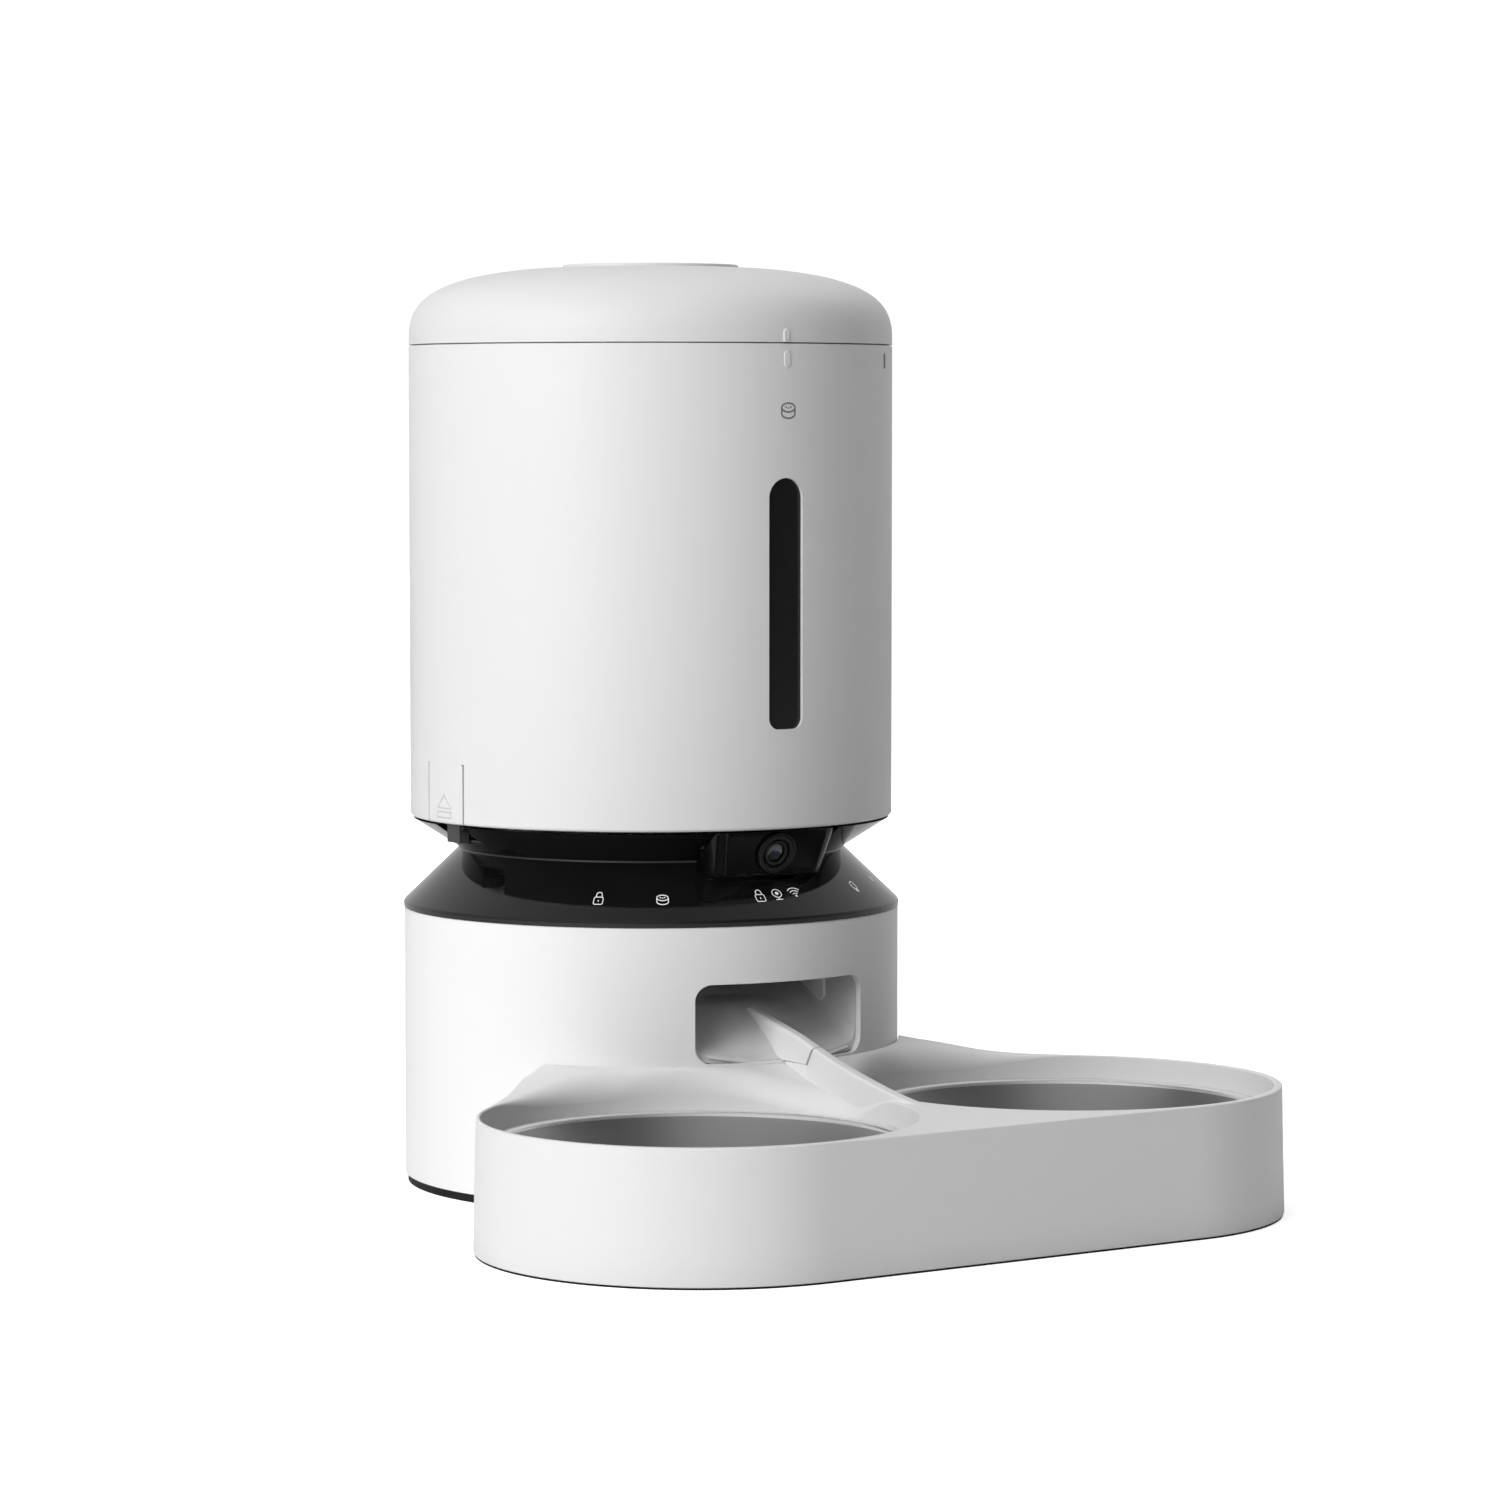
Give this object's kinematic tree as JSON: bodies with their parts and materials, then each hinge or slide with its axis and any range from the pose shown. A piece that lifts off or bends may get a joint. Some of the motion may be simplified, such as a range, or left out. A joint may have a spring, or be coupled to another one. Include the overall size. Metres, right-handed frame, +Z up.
{
  "type": "automatic pet feeder",
  "caption": "Free-standing dry food feeder: round tank with level window and domed lid on a hourglass neck with camera, over a base whose outlet feeds a tray of steel bowls.",
  "frame": {"origin": "bottom centre of the whole object's box, on the surface it stands on", "axes": "+Z up; the outlet, camera and bowls face -Y; +X to the right of the feeder seen from behind the bowls looking along +Y"},
  "size_m": [0.288, 0.2984, 0.3139],
  "materials": {
    "white_plastic": "satin injection moulded",
    "gloss_black": "high gloss",
    "black_plastic": "fine texture",
    "smoke_window": "polished smoked plastic",
    "steel": "brushed inside, polished rim",
    "rubber": "matt",
    "silicone": "translucent matt",
    "lens_glass": "coated lens",
    "board": "circuit board",
    "motor_metal": "zinc plated can",
    "shaft_steel": "turned",
    "gear_plastic": "acetal",
    "contact_metal": "plated strip",
    "cell_jacket": "plain sleeve",
    "desiccant_paper": "non-woven bag"
  },
  "bodies": {
    "base": {"base_shell": "white_plastic", "base_floor": "black_plastic", "foot_ring": "rubber", "floor_screws": "shaft_steel", "battery_bay": "black_plastic", "battery_cells": "cell_jacket", "battery_contacts": "contact_metal", "power_jack": "black_plastic", "speaker": "black_plastic", "main_board": "board", "outlet_chute": "white_plastic", "sensor_windows": "silicone", "splitter_tip": "white_plastic", "control_panel": "gloss_black", "neck_cradle": "gloss_black", "touch_board": "board", "camera_housing": "gloss_black", "lens_ring": "black_plastic", "camera_lens": "lens_glass", "camera_board": "board", "motor": "motor_metal", "gearbox_case": "gear_plastic", "gearbox_lid": "gear_plastic", "output_bush": "contact_metal", "idler_pin": "shaft_steel"},
    "battery_door": {"battery_door": "black_plastic"},
    "motor_shaft": {"motor_shaft": "shaft_steel", "motor_pinion": "contact_metal"},
    "idler": {"idler_gear": "gear_plastic"},
    "drive": {"drive_gear": "gear_plastic", "output_shaft": "gear_plastic"},
    "tank": {"tank_shell": "white_plastic", "level_window": "smoke_window", "tank_funnel": "white_plastic", "drop_shield": "white_plastic"},
    "rotor": {"rotor_hub": "white_plastic", "rotor_vanes": "silicone", "agitator": "white_plastic"},
    "release_tab_left": {"release_tab_left": "white_plastic"},
    "release_tab_right": {"release_tab_right": "white_plastic"},
    "lid_seal": {"lid_seal": "silicone"},
    "lid": {"lid_dome": "white_plastic", "lid_inlay": "white_plastic", "lid_liner": "white_plastic", "desiccant_pack": "desiccant_paper"},
    "desiccant_cover": {"desiccant_cover": "white_plastic"},
    "tray": {"tray": "white_plastic", "tray_feet": "rubber"},
    "bowl_left": {"bowl_left": "steel"},
    "bowl_right": {"bowl_right": "steel"}
  },
  "joints": [
    {"name": "tank_lift", "type": "slide", "parent": "base", "child": "tank", "axis": [0, 0, 1], "range_m": [0, 0.18]},
    {"name": "release_tab_left_press", "type": "hinge", "parent": "tank", "child": "release_tab_left", "pos_m": [-0.0816, 0.064, 0.1458], "axis": [0, -1, 0], "range_deg": [0, 6], "stiffness_Nm_per_rad": 2},
    {"name": "release_tab_right_press", "type": "hinge", "parent": "tank", "child": "release_tab_right", "pos_m": [0.0816, 0.064, 0.1458], "axis": [0, 1, 0], "range_deg": [0, 6], "stiffness_Nm_per_rad": 2},
    {"name": "rotor_spin", "type": "hinge", "parent": "tank", "child": "rotor", "pos_m": [0, 0.064, 0.11], "axis": [0, 0, 1], "continuous": true},
    {"name": "drive_spin", "type": "hinge", "parent": "base", "child": "drive", "pos_m": [0, 0.064, 0.081], "axis": [0, 0, 1], "continuous": true},
    {"name": "idler_spin", "type": "hinge", "parent": "base", "child": "idler", "pos_m": [0, 0.0842, 0.077], "axis": [0, 0, 1], "continuous": true},
    {"name": "motor_spin", "type": "hinge", "parent": "base", "child": "motor_shaft", "pos_m": [0.0202, 0.0842, 0.07], "axis": [0, 0, 1], "continuous": true},
    {"name": "lid_lift", "type": "slide", "parent": "tank", "child": "lid_seal", "axis": [0, 0, 1], "range_m": [0, 0.09]},
    {"name": "lid_twist", "type": "hinge", "parent": "lid_seal", "child": "lid", "pos_m": [0, 0.064, 0.29], "axis": [0, 0, 1], "range_deg": [0, 40]},
    {"name": "desiccant_cover_swing", "type": "hinge", "parent": "lid", "child": "desiccant_cover", "pos_m": [0, 0.0944, 0.2855], "axis": [1, 0, 0], "range_deg": [0, 95]},
    {"name": "tray_slide", "type": "slide", "parent": "base", "child": "tray", "axis": [0, -1, 0], "range_m": [0, 0.12]},
    {"name": "bowl_left_lift", "type": "slide", "parent": "tray", "child": "bowl_left", "axis": [0, 0, 1], "range_m": [0, 0.08]},
    {"name": "bowl_right_lift", "type": "slide", "parent": "tray", "child": "bowl_right", "axis": [0, 0, 1], "range_m": [0, 0.08]},
    {"name": "battery_door_drop", "type": "slide", "parent": "base", "child": "battery_door", "axis": [0, 0, -1], "range_m": [0, 0.03]}
  ],
  "couplings": [
    {"joint": "drive_spin", "follows": "rotor_spin", "ratio": 1},
    {"joint": "idler_spin", "follows": "rotor_spin", "ratio": -4},
    {"joint": "motor_spin", "follows": "rotor_spin", "ratio": 16}
  ]
}
